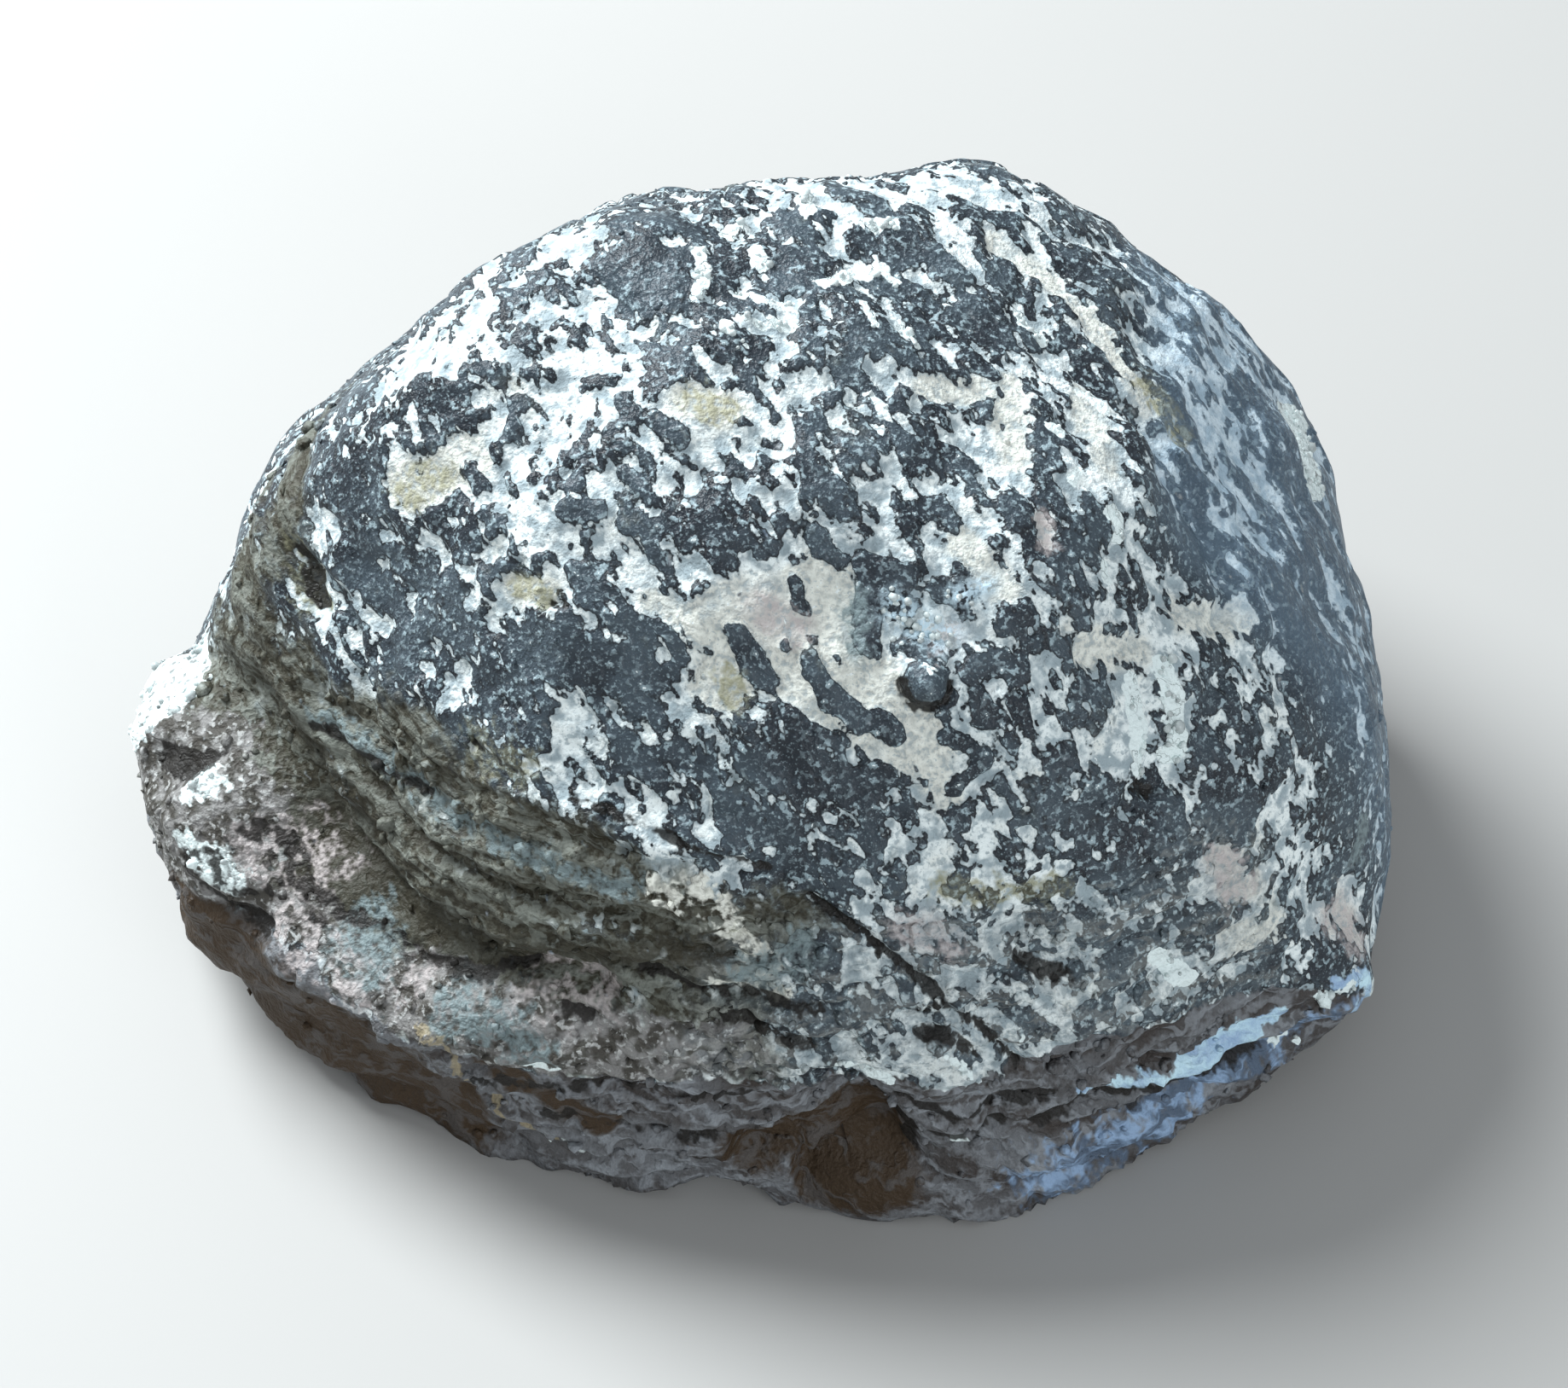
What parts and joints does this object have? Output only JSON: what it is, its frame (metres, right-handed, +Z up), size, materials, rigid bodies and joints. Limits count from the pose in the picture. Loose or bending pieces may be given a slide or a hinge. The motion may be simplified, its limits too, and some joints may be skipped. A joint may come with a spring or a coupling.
{
  "type": "quartz geode",
  "caption": "Whole weathered geode: dark domed skin, raised collar and layered broken rim, with a shallow hollow underneath. It stands on its broken side.",
  "frame": {"origin": "centre of the bounding box at table level", "axes": "+Z up, +X to the right and -Y towards the viewer when the stone is seen from its pictured side"},
  "size_m": [0.1013, 0.085, 0.0615],
  "materials": {
    "stone": "matte, weathered"
  },
  "bodies": {
    "root": {"geode": "stone"}
  },
  "joints": []
}
